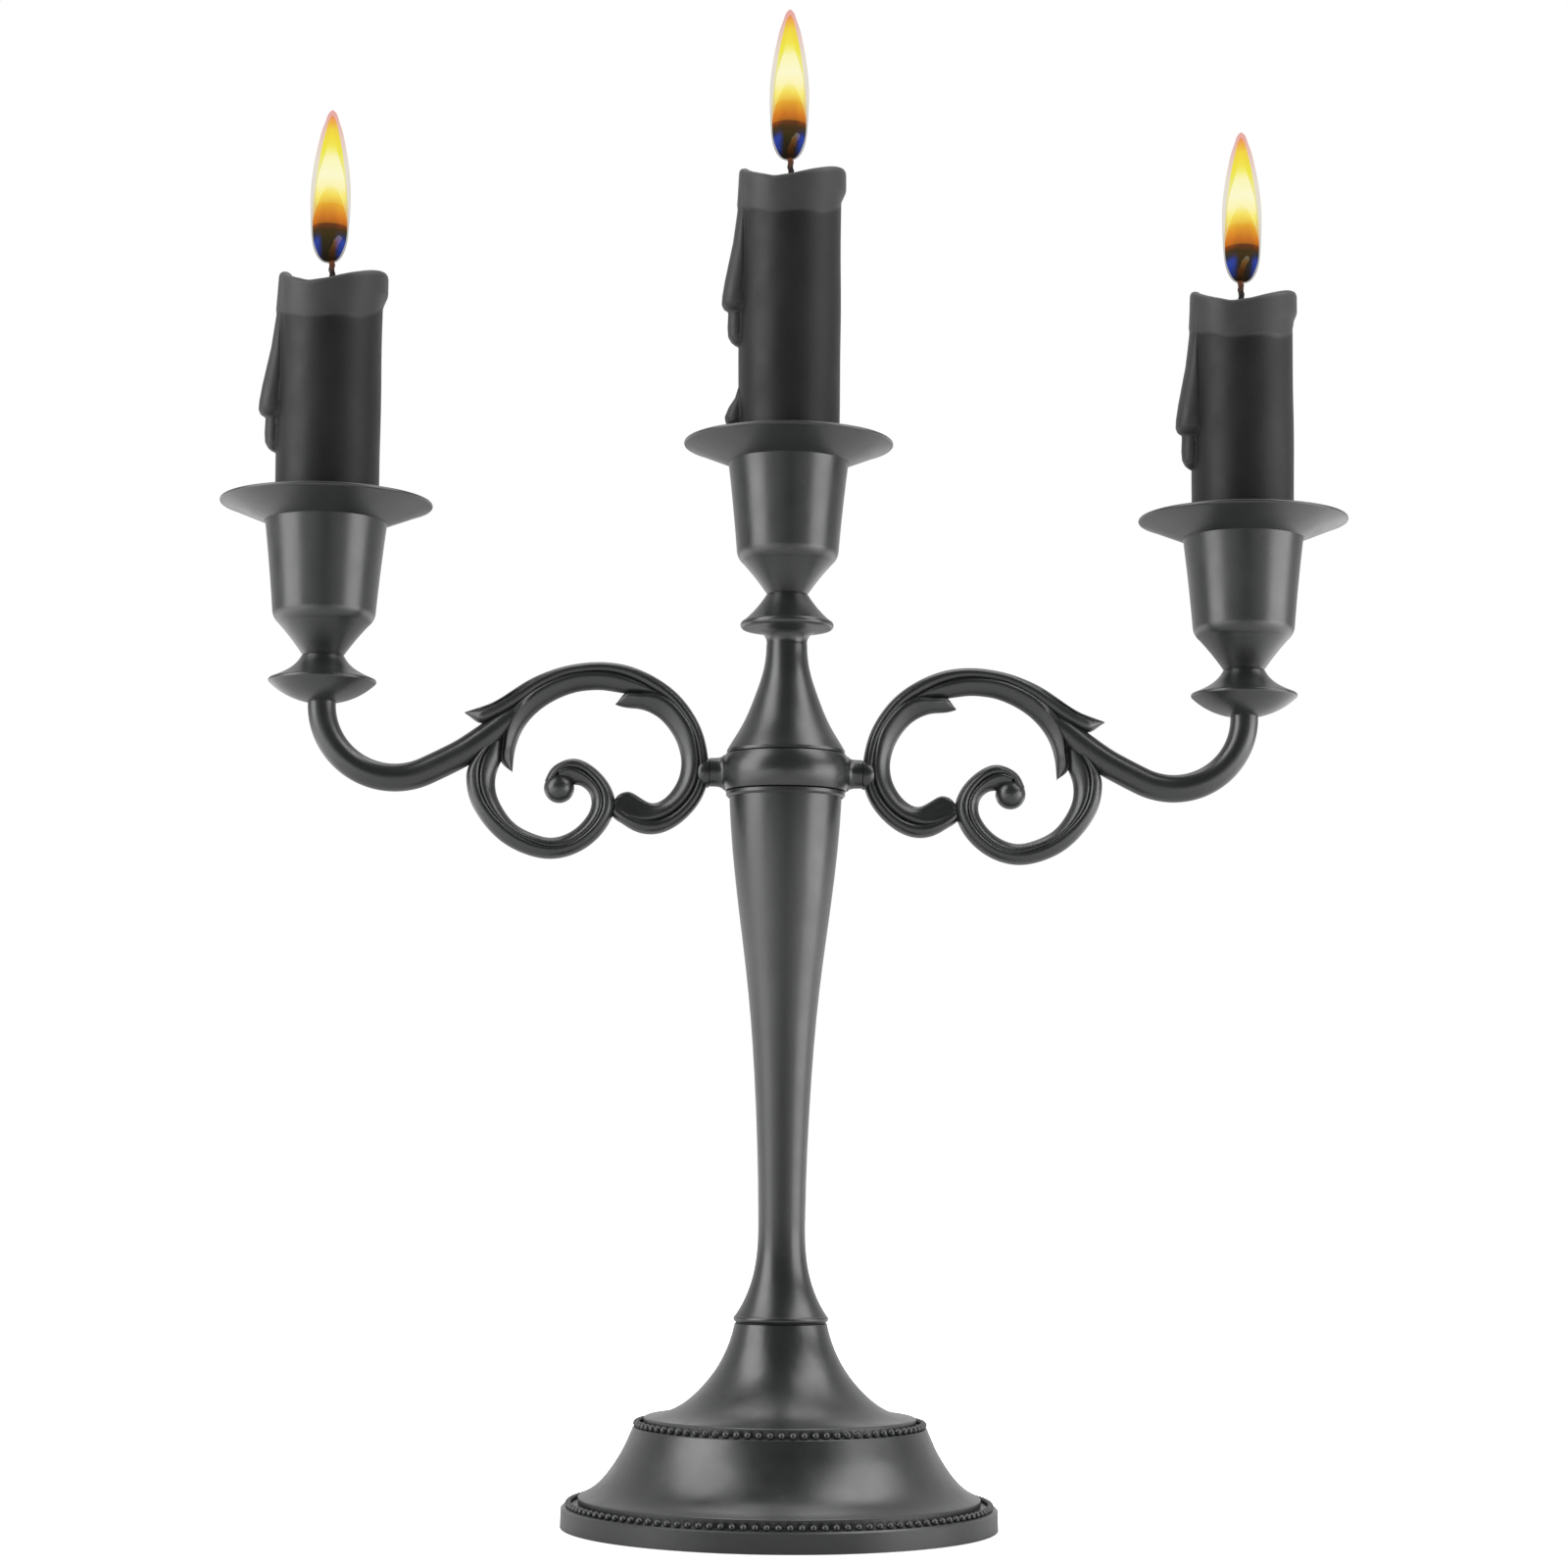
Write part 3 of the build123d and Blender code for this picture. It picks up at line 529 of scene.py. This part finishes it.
# Lower curl: outer and inner lobes, from under the leaves round to the ball.
CURL_OUTER = [
    (70.6, 12.4, 70.2, 12.0, 0.8, 2.0),
    (72.9, 9.6, 71.8, 8.8, 2.0, 2.8),
    (76.3, 4.8, 74.6, 4.4, 2.9, 3.0),
    (79.3, 0.5, 75.9, 0.6, 3.1, 2.6),
    (79.7, -3.4, 75.9, -3.2, 3.0, 2.3),
    (78.7, -7.9, 74.9, -6.9, 2.9, 2.2),
    (76.0, -12.7, 72.7, -10.4, 2.9, 2.2),
    (71.4, -17.6, 69.0, -14.0, 2.9, 2.2),
    (65.0, -21.1, 63.8, -17.3, 2.9, 2.2),
    (58.3, -22.3, 58.4, -18.6, 2.9, 2.2),
    (52.6, -21.0, 53.9, -17.8, 2.9, 2.2),
    (48.2, -18.3, 50.4, -15.5, 2.9, 2.2),
    (45.0, -14.8, 47.8, -12.6, 2.9, 2.2),
    (43.1, -11.2, 46.5, -9.9, 2.9, 2.2),
    (42.6, -7.6, 46.3, -7.2, 2.9, 2.2),
    (43.7, -4.2, 47.0, -4.9, 2.9, 2.2),
    (46.2, -0.8, 48.7, -2.6, 2.9, 2.2),
    (49.7, 1.9, 51.1, -0.6, 2.9, 2.2),
    (53.1, 2.9, 53.6, 0.1, 2.8, 2.2),
    (56.2, 2.1, 55.6, -0.3, 2.6, 2.2),
    (58.8, 0.1, 57.2, -1.8, 2.3, 2.2),
    (60.2, -2.8, 58.0, -3.4, 1.9, 2.1),
]
CURL_INNER = [
    (70.9, 11.2, 70.3, 10.8, 0.8, 2.0),
    (73.5, 7.4, 70.4, 6.4, 2.3, 2.4),
    (76.2, 2.9, 71.0, 2.4, 3.0, 2.4),
    (77.0, -1.2, 72.3, -1.3, 3.2, 2.3),
    (76.7, -4.6, 72.5, -4.4, 3.2, 2.2),
    (75.3, -8.4, 71.7, -7.6, 3.2, 2.2),
    (72.8, -12.0, 69.4, -11.5, 3.2, 2.2),
    (68.6, -16.0, 66.3, -14.4, 3.2, 2.2),
    (63.5, -18.6, 62.4, -16.2, 3.2, 2.2),
    (58.2, -19.9, 58.4, -17.0, 3.2, 2.2),
    (53.4, -19.0, 54.8, -16.1, 3.2, 2.2),
    (49.6, -16.4, 51.9, -14.2, 3.2, 2.2),
    (46.9, -13.2, 49.8, -11.8, 3.2, 2.2),
    (45.5, -9.9, 48.6, -9.2, 3.2, 2.2),
    (45.3, -6.9, 48.7, -6.7, 3.2, 2.2),
    (46.3, -4.2, 49.9, -4.8, 3.2, 2.2),
    (48.5, -1.6, 51.6, -3.8, 3.2, 2.2),
    (51.3, 0.5, 53.2, -3.6, 3.2, 2.2),
    (54.2, 1.2, 55.0, -3.2, 3.1, 2.2),
    (57.0, 0.3, 56.2, -3.6, 2.8, 2.2),
]
BALL = (56.6, -4.5, 3.8)        # x, height and radius, at the heart of the lower curl
# Socket between the ring's stub and the scroll: distance past the stub's end, and radius.
SOCKET = [(-0.6, 3.0), (0.05, 3.2), (0.2, 3.45), (0.9, 3.5), (1.9, 3.4), (2.7, 3.1), (3.3, 2.5), (3.7, 1.4)]
# The rod from the scroll to the knop: x, height and heading in degrees.
RISER = [
    (66.0, 15.6, -42), (76.6, 6.8, -36), (ARM_REACH - 33.5, 3.0, -28), (ARM_REACH - 18.3, -2.5, 0),
    (ARM_REACH, 15.8, 90),
]


def build_arm(name, side):
    parts = Parts()
    lobe(parts, OUTER_LOBE, crease_at=0.52, side=side)
    lobe(parts, TOP_LOBE, crease_at=0.58, lean=0.35, side=side)
    lobe(parts, SMALL_LOBE, lean=0.35, side=side)
    lobe(parts, CURL_OUTER, lean=-0.15, side=side)
    lobe(parts, CURL_INNER, lean=0.35, side=side)
    path = np.concatenate([arcs(RISER), [(ARM_REACH, KNOP_UNDERSIDE - ARM_LEVEL + 0.2)]])
    run = np.concatenate([[0], np.cumsum(np.linalg.norm(np.diff(path, axis=0), axis=1))])
    tube(parts, path, np.interp(run, [0, 6, 13], [2.5, 3.2, 3.5]), side=side)
    x, z, r = BALL
    turn = np.linspace(0.04, np.pi - 0.04, 26)
    phi = np.linspace(0, 2 * np.pi, 40, endpoint=False)
    rings = [np.stack([side * x + r * np.sin(a) * np.cos(phi), r * np.sin(a) * np.sin(phi),
                       np.full(40, ARM_LEVEL + z - r * np.cos(a))], 1) for a in turn]
    parts.loft(rings)
    rings = []
    for past, r in SOCKET:
        height = ARM_LEVEL - 0.2 + 1.06 * r * np.sin(phi)
        ring = np.stack([np.full(40, side * (RING_END + past)), r * np.cos(phi), height], 1)
        rings.append(ring if side > 0 else ring[::-1])
    parts.loft(rings)
    return make_mesh(name, np.concatenate(parts.verts), parts.faces, [black_metal], sharp=38)


for side_name, side in (("left", -1), ("right", 1)):
    arm = build_arm(f"arm_casting_{side_name}", side)
    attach(arm, "arms")
    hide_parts(f"arm_{side_name}")


# --- Candles -----------------------------------------------------------------------------------
WAX_RADIUS = 13.0
FOOT_RADII = (9.0, 12.6, 12.9)  # of the tapered foot: below, at its top, and of the wall just over it
FOOT_TAPER = 20.8               # height of the tapered foot, which stands in the cup
# Angle round the candle, and how far the rim dips there.
RIM_TURNS = [0, 30, 90, 150, 180, 200, 215, 247, 270, 285, 302, 325, 345, 360]
RIM_DIPS = [0.0, -0.2, -1.2, -0.3, 0.0, -1.7, -2.9, -5.1, -4.5, -3.5, -2.4, -1.0, -0.2, 0.0]
POOL_LEVEL = -6.3
RIM_BEND = (-24, -1.4)          # between these levels the rows bend more and more with the rim


def smooth(x, low, high):
    f = np.clip((x - low) / (high - low), 0, 1)
    return f * f * (3 - 2 * f)


def wax_run(turn, z, centre, levels, bulges, half_widths):
    """How far a run of wax stands from the wall, by angle and by height below the rim."""
    across = (turn - math.radians(centre)) * WAX_RADIUS
    width = np.interp(-z, levels, half_widths)
    reach = np.interp(-z, levels, bulges)
    return reach * np.sqrt(np.clip(1 - (across / width) ** 2, 0, 1))


def candle_wall(turn, z, foot_blob):
    """Radius of the wax and how much painted sheen its melted wax gets, at an angle and a height below the
    rim's high point.
    """
    degrees = np.degrees(turn)
    front = np.clip(-np.sin(turn), 0, 1)
    wave = 0.8 * np.sin(3 * turn + 1.0) + 0.5 * np.sin(5 * turn + 2.2)
    cap_edge = -9.2 - 3.2 * front + wave
    cap = smooth(z, cap_edge - 0.8, cap_edge + 0.8)
    away = np.minimum(degrees, 360 - degrees)
    lip = np.exp(-(away / 38) ** 2) * smooth(z, -8.4, -5.2) * (1 - 0.4 * smooth(z, -1.5, 0.5))
    tongue = wax_run(turn, z, 187, [0, 3, 10, 16, 20, 25, 30, 34, 36.2, 37.4, 38.1, 38.5],
                     [0.1, 0.3, 0.7, 1.4, 1.9, 2.9, 3.9, 4.5, 4.6, 4.1, 2.9, 0.0],
                     [2.4, 2.6, 3.0, 3.3, 3.5, 3.8, 4.0, 4.0, 3.7, 3.0, 2.0, 1.0])
    drop = wax_run(turn, z, 184, [28, 34, 38, 42, 44.4, 45.8, 46.6, 46.9],
                   [0.0, 1.2, 2.8, 2.9, 2.7, 1.9, 0.9, 0.0], [1.4, 2.2, 2.6, 2.7, 2.5, 2.0, 1.2, 0.6])
    runs = np.maximum(tongue, drop)
    if foot_blob:
        blob = wax_run(turn, z, 182, [57, 60, 62.5, 65, 66.6, 67.5, 67.9],
                       [0.0, 0.9, 2.5, 3.5, 3.2, 2.0, 0.0], [1.2, 2.1, 2.9, 3.2, 2.9, 2.1, 1.0])
        runs = np.maximum(runs, blob)
    ripple = 0.06 * np.sin(2 * turn + z * 0.11) + 0.04 * np.sin(5 * turn - z * 0.23)
    radius = WAX_RADIUS - 0.08 + ripple + 0.28 * cap + 0.95 * lip + runs
    # Melted wax of the cap and the runs gets a painted sheen, a paler colour, by this mask.
    melt_sheen = np.clip(cap * 0.9 + np.clip(runs * 0.8, 0, 0.8), 0, 1)
    return radius, melt_sheen


def build_candle(light):
    lo, hi = box_mm(f"candle_{light}")
    depth = hi[2] - lo[2]
    drip = np.radians(np.linspace(150, 224, 150))
    rest = np.radians(np.linspace(224, 510, 132)[1:-1])
    turns = np.sort(np.concatenate([drip, rest]) % (2 * np.pi))
    rim = np.interp(np.degrees(turns), RIM_TURNS, RIM_DIPS)
    for _ in range(6):
        rim = (np.roll(rim, 1) + rim * 2 + np.roll(rim, -1)) / 4
    m = len(turns)
    foot = -depth + FOOT_TAPER + 0.3
    if light == "middle":
        plain = [np.linspace(foot, -70, 8, endpoint=False), np.linspace(-70, -49, 52, endpoint=False)]
    else:
        plain = [np.linspace(foot, -49, 14, endpoint=False)]
    levels = np.concatenate(plain + [
        np.linspace(-49, -26, 64, endpoint=False), np.linspace(-26, -13, 22, endpoint=False),
        np.linspace(-13, -1.4, 28)])
    rings, melt_sheen_rows = [], []

    def ring(r, z, melt_sheen):
        rings.append(np.stack([r * np.cos(turns), r * np.sin(turns), z + np.zeros(m)], 1))
        melt_sheen_rows.append(np.zeros(m) + melt_sheen)

    ring(FOOT_RADII[0], -depth, 0.0)
    ring(FOOT_RADII[1], -depth + FOOT_TAPER, 0.0)
    for row, level in enumerate(levels):
        r, melt_sheen = candle_wall(turns, np.full(m, level), light == "middle")
        r = np.minimum(r, FOOT_RADII[2]) if row == 0 else r
        ring(r, level + rim * smooth(level, *RIM_BEND), melt_sheen)
    top_r, _ = candle_wall(turns, np.full(m, levels[-1]), False)
    # The rim and the pool are melted wax and get the full painted sheen.
    for inward, up in ((0.15, -0.75), (0.45, -0.3), (0.95, -0.06), (1.5, 0.0), (2.1, -0.12), (2.7, -0.5),
                       (3.2, -1.1)):
        ring(top_r - inward, rim + up, 1.0)
    low = rim - 1.1
    for share, r in ((0.45, 9.2), (0.8, 8.4), (0.96, 7.2), (1.0, 5.0), (0.985, 2.6), (0.95, 1.0)):
        ring(r, low + (POOL_LEVEL - low) * share, 1.0)
    parts = Parts()
    parts.loft(rings)
    verts = np.concatenate(parts.verts)
    candle = make_mesh(f"wax_candle_{light}", verts, parts.faces, [wax], sharp=0,
                       location=(CUP_X[light], 0, hi[2]))
    # This attribute carries the painted sheen of melted wax to the wax material.
    attribute = candle.data.attributes.new("melt_sheen", "FLOAT", "POINT")
    attribute.data.foreach_set("value", np.concatenate([np.concatenate(melt_sheen_rows), [0.0, 1.0]]).astype(np.float32))
    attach(candle, f"{light}_light")
    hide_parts(f"candle_{light}")


def build_wick(light):
    """A braided wick that bends over at its charred end, from the pool of wax upward."""
    hi = box_mm(f"candle_{light}")[1]
    path = np.array([(0, -9.0), (0, -4.0), (-0.1, 0.0), (-0.25, 3.0), (-0.1, 5.4), (0.6, 7.3), (1.3, 8.7),
                     (1.6, WICK_TOP)])
    t = np.concatenate([[0], np.cumsum(np.linalg.norm(np.diff(path, axis=0), axis=1))])
    at, line = spline(path, t, 0.16)
    along = np.gradient(line, axis=0)
    along /= np.linalg.norm(along, axis=1)[:, None]
    phi = np.linspace(0, 2 * np.pi, 36, endpoint=False)
    rings = []
    for s, (x, z), (dx, dz) in zip(at, line, along):
        end = min(1.0, math.sqrt(max(0.02, (at[-1] - s) / 0.6)))
        char = 1 + 0.12 * math.sin(s * 4.1) * smooth(np.array(z), 4, 8)
        r = (0.72 + 0.10 * np.cos(3 * phi + s * 2.6) + 0.05 * np.cos(3 * phi - s * 2.6)) * end * char
        rings.append(np.stack([x - dz * r * np.cos(phi), r * np.sin(phi), z + dx * r * np.cos(phi)], 1))
    parts = Parts()
    parts.loft(rings)
    wick = make_mesh(f"braided_wick_{light}", np.concatenate(parts.verts), parts.faces, [wick_look], sharp=0,
                     location=(CUP_X[light], 0, hi[2]))
    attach(wick, f"{light}_light")
    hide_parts(f"wick_{light}")


# Fringe, edge, core and heart: radius and height above the foot of the flame.
FLAME_SHELLS = [
    [(0, 0.0), (1.6, 0.05), (2.6, 0.8), (3.6, 2.4), (4.5, 5.8), (4.8, 9.3), (5.0, 13.0), (5.0, 19.0),
     (4.6, 23.5), (4.0, 27.5), (3.3, 31.0), (2.5, 34.4), (1.6, 37.0), (0.8, 38.9), (0, FLAME_TOP)],
    [(0, 6.2), (3.4, 6.4), (4.2, 8.0), (4.4, 11.0), (4.35, 14.0), (4.1, 17.5), (3.8, 21.0), (3.3, 25.0),
     (2.7, 28.6), (2.0, 32.2), (1.4, 34.8), (0.8, 37.0), (0, 38.3)],
    [(0, 12.6), (2.2, 12.9), (3.4, 14.5), (3.7, 17.5), (3.5, 20.5), (2.9, 23.5), (1.9, 27.0), (1.1, 30.5),
     (0.6, 33.5), (0, 35.2)],
    [(0, 0.25), (1.4, 0.35), (2.3, 1.1), (3.2, 2.8), (4.0, 5.2), (4.3, 7.6), (4.35, 9.4), (4.1, 11.5),
     (3.55, 13.8), (2.6, 16.6), (1.5, 19.0), (0.7, 20.2), (0, 20.8)],
]
# Each flame leans a little off its wick, along X.
FLAME_SHIFT = {"left": -0.9, "middle": -0.6, "right": 0.2}


def build_flame(light):
    lo, hi = box_mm(f"flame_{light}")
    parts = Parts()
    for slot, outline in enumerate(FLAME_SHELLS):
        outline = np.array(outline, float)
        t = np.concatenate([[0], np.cumsum(np.linalg.norm(np.diff(outline, axis=0), axis=1))])
        _, line = spline(outline, t, 0.5)
        line[:, 0] = np.maximum(line[:, 0], 0.02)
        parts.revolve(line[1:-1], outline[0][1], outline[-1][1], 48, slot)
    flame = make_mesh(f"candle_flame_{light}", np.concatenate(parts.verts), parts.faces,
                      [flame_fringe, flame_edge, flame_core, flame_heart], parts.slots, sharp=0,
                      location=(CUP_X[light] + FLAME_SHIFT[light], 0, lo[2] + 0.7))
    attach(flame, f"{light}_light")
    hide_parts(f"flame_{light}")


for light in LIGHTS:
    build_candle(light)
    build_wick(light)
    build_flame(light)


# --- Floor, light and camera -----------------------------------------------------------------
def floor_material():
    m = Nodes("pale_floor")
    m.shader.inputs["Emission Color"].default_value = (1, 1, 1, 1)
    # The camera sees a pale floor that glows. Other rays see a greyer one, which glows only far
    # to each side, where the metal mirrors it, so that it doesn't light the metal from below.
    seen_directly = m.tree.nodes.new("ShaderNodeLightPath").outputs["Is Camera Ray"]
    pale = m.mix(m.spread(m.noise(3, 2), 0, 1), (0.90, 0.90, 0.90), (0.93, 0.93, 0.93))
    tone = m.mix(seen_directly, (0.64, 0.64, 0.64), pale)
    away = m.rescale(m.calc("ABSOLUTE", m.split()["X"]), 0.15, 0.6, 0.0, 1.3, smooth=True)
    glow = m.calc("MAXIMUM", m.calc("MULTIPLY", seen_directly, 0.8), away)
    m.link(glow, m.shader.inputs["Emission Strength"])
    return m.finish(tone, Roughness=0.9, Specular_IOR_Level=0.1)


FLOOR_REACH = 3000.0
corners = [(-FLOOR_REACH, -FLOOR_REACH, 0), (FLOOR_REACH, -FLOOR_REACH, 0),
           (FLOOR_REACH, FLOOR_REACH, 0), (-FLOOR_REACH, FLOOR_REACH, 0)]
floor = make_mesh("floor", corners, [(0, 1, 2, 3)], [floor_material()], sharp=0)

world = bpy.data.worlds.new("studio")
bpy.context.scene.world = world
world.use_nodes = True
tree = world.node_tree
tree.nodes.clear()
output = tree.nodes.new("ShaderNodeOutputWorld")
seen, lit = tree.nodes.new("ShaderNodeBackground"), tree.nodes.new("ShaderNodeBackground")
seen.inputs["Color"].default_value = (1, 1, 1, 1)
seen.inputs["Strength"].default_value = 1.0
lit.inputs["Color"].default_value = (1, 1, 1, 1)
# Dim in front, where the camera stands, and brighter behind.
direction, axes = tree.nodes.new("ShaderNodeTexCoord"), tree.nodes.new("ShaderNodeSeparateXYZ")
backward = tree.nodes.new("ShaderNodeMapRange")
tree.links.new(direction.outputs["Generated"], axes.inputs[0])
tree.links.new(axes.outputs["Y"], backward.inputs["Value"])
for socket, value in (("From Min", -0.1), ("From Max", 0.9), ("To Min", 0.06), ("To Max", 0.85)):
    backward.inputs[socket].default_value = value
tree.links.new(backward.outputs["Result"], lit.inputs["Strength"])
path_kind, choose = tree.nodes.new("ShaderNodeLightPath"), tree.nodes.new("ShaderNodeMixShader")
tree.links.new(path_kind.outputs["Is Camera Ray"], choose.inputs[0])
tree.links.new(lit.outputs[0], choose.inputs[1])
tree.links.new(seen.outputs[0], choose.inputs[2])
tree.links.new(choose.outputs[0], output.inputs["Surface"])


def softbox(name, place, target, size, power):
    lamp = bpy.data.lights.new(name, "AREA")
    lamp.shape = "RECTANGLE"
    lamp.size, lamp.size_y = size
    lamp.energy = power
    obj = bpy.data.objects.new(name, lamp)
    obj.location = place
    obj.rotation_euler = (Vector(target) - Vector(place)).to_track_quat("-Z", "Y").to_euler()
    bpy.context.scene.collection.objects.link(obj)


softbox("light_left", (-1.15, -0.4, 0.9), (0, 0, 0.4), (1.0, 1.7), 21)
softbox("light_right", (1.15, -0.4, 0.24), (0, 0, 0.22), (1.0, 0.55), 6.3)
softbox("light_high", (0.95, -0.22, 1.3), (0, 0, 0.2), (1.0, 1.1), 13)
softbox("light_top", (0, 0.35, 1.5), (0, 0, 0.2), (1.0, 0.8), 6)

# Place of the camera in metres and its angles in radians. It faces a little off the shaft.
DISTANCE, HEIGHT, AZIMUTH, PITCH, ROLL = 0.8075, 0.0947, 0.0502, 0.1088, 0.009
OFF_SHAFT = 0.0005
SENSOR_WIDTH, LENS = 36, 74.43
camera = bpy.data.cameras.new("camera")
camera.sensor_width = SENSOR_WIDTH
camera.lens = LENS
camera.clip_end = 20
camera_object = bpy.data.objects.new("camera", camera)
bpy.context.scene.collection.objects.link(camera_object)
bpy.context.scene.camera = camera_object
facing = AZIMUTH - OFF_SHAFT
ahead = Vector((math.sin(facing) * math.cos(PITCH), math.cos(facing) * math.cos(PITCH), math.sin(PITCH)))
right = Vector((math.cos(facing), -math.sin(facing), 0))
up = right.cross(ahead)
right, up = right * math.cos(ROLL) + up * math.sin(ROLL), up * math.cos(ROLL) - right * math.sin(ROLL)
turn = Matrix((right, up, -ahead)).transposed().to_4x4()
camera_object.matrix_world = Matrix.Translation(
    (-DISTANCE * math.sin(AZIMUTH), -DISTANCE * math.cos(AZIMUTH), HEIGHT)) @ turn

bpy.context.scene.view_settings.view_transform = "Standard"
